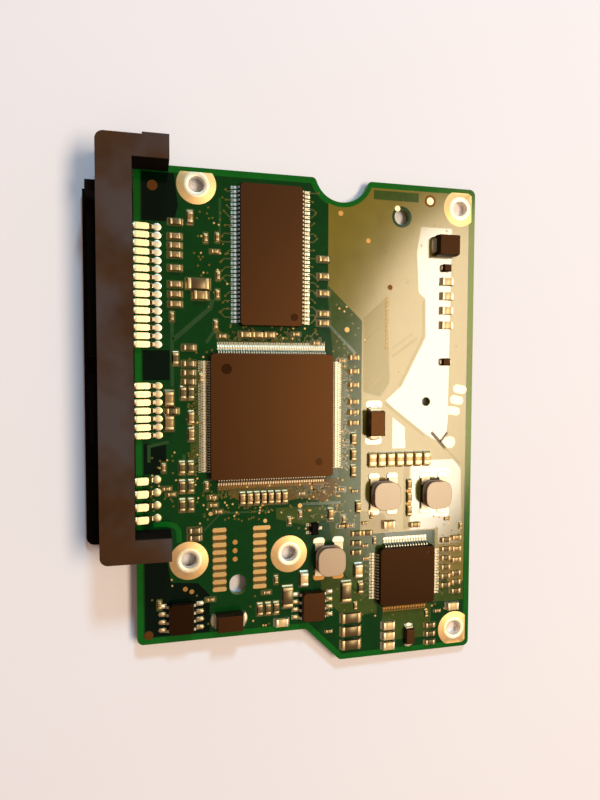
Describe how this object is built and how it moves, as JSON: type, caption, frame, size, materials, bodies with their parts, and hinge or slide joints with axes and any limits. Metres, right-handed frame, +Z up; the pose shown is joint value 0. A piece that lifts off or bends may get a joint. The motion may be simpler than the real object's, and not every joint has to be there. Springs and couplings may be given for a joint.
{
  "type": "hard drive circuit board",
  "caption": "Green hard drive circuit board with a moulded edge plug connector, leaded chips, inductors, diodes, chip parts and plated screw holes.",
  "frame": {"origin": "centre of the part's box in plan, at the underside of the plug connector", "axes": "+Z up from the component face, +Y along the board's long side towards the notched edge, -X out of the plug connector"},
  "size_m": [0.0644, 0.0824, 0.0081],
  "materials": {
    "board_mask": "glossy green solder mask on glass-epoxy",
    "pad_plating": "thin gold plating on copper",
    "housing_plastic": "matt moulded",
    "contact_plating": "plated spring metal",
    "package_plastic": "fine matt moulding compound",
    "tinned_lead": "tin plated",
    "ferrite": "fired ferrite",
    "winding_wire": "enamelled copper",
    "base_plastic": "matt moulded",
    "resistor_body": "brown glass glaze on alumina",
    "capacitor_body": "fired tan ceramic"
  },
  "bodies": {
    "root": {"circuit_board": "board_mask", "screw_pads": "pad_plating", "head_contact_pads": "pad_plating", "motor_contact_pads": "pad_plating", "connector_housing": "housing_plastic", "power_contacts": "contact_plating", "signal_contacts": "contact_plating", "jumper_pins": "contact_plating", "main_controller": "package_plastic", "main_controller_leads": "tinned_lead", "memory_chip": "package_plastic", "memory_chip_leads": "tinned_lead", "motor_driver": "package_plastic", "motor_driver_leads": "tinned_lead", "settings_memory": "package_plastic", "settings_memory_leads": "tinned_lead", "power_switch": "package_plastic", "power_switch_leads": "tinned_lead", "rectifier_diodes": "package_plastic", "rectifier_diodes_terminals": "tinned_lead", "surge_suppressor": "package_plastic", "surge_suppressor_terminals": "tinned_lead", "small_diode": "package_plastic", "small_diode_terminals": "tinned_lead", "zener_diodes": "package_plastic", "zener_diodes_terminals": "tinned_lead", "small_transistor": "package_plastic", "small_transistor_leads": "tinned_lead", "inductor_cores": "ferrite", "inductor_windings": "winding_wire", "inductor_bases": "base_plastic", "inductor_terminals": "tinned_lead", "bulk_capacitors": "capacitor_body", "bulk_capacitors_terminals": "tinned_lead", "row_capacitors": "capacitor_body", "row_capacitors_terminals": "tinned_lead", "large_capacitors": "capacitor_body", "large_capacitors_terminals": "tinned_lead", "small_capacitors": "capacitor_body", "small_resistors": "resistor_body"}
  },
  "joints": []
}
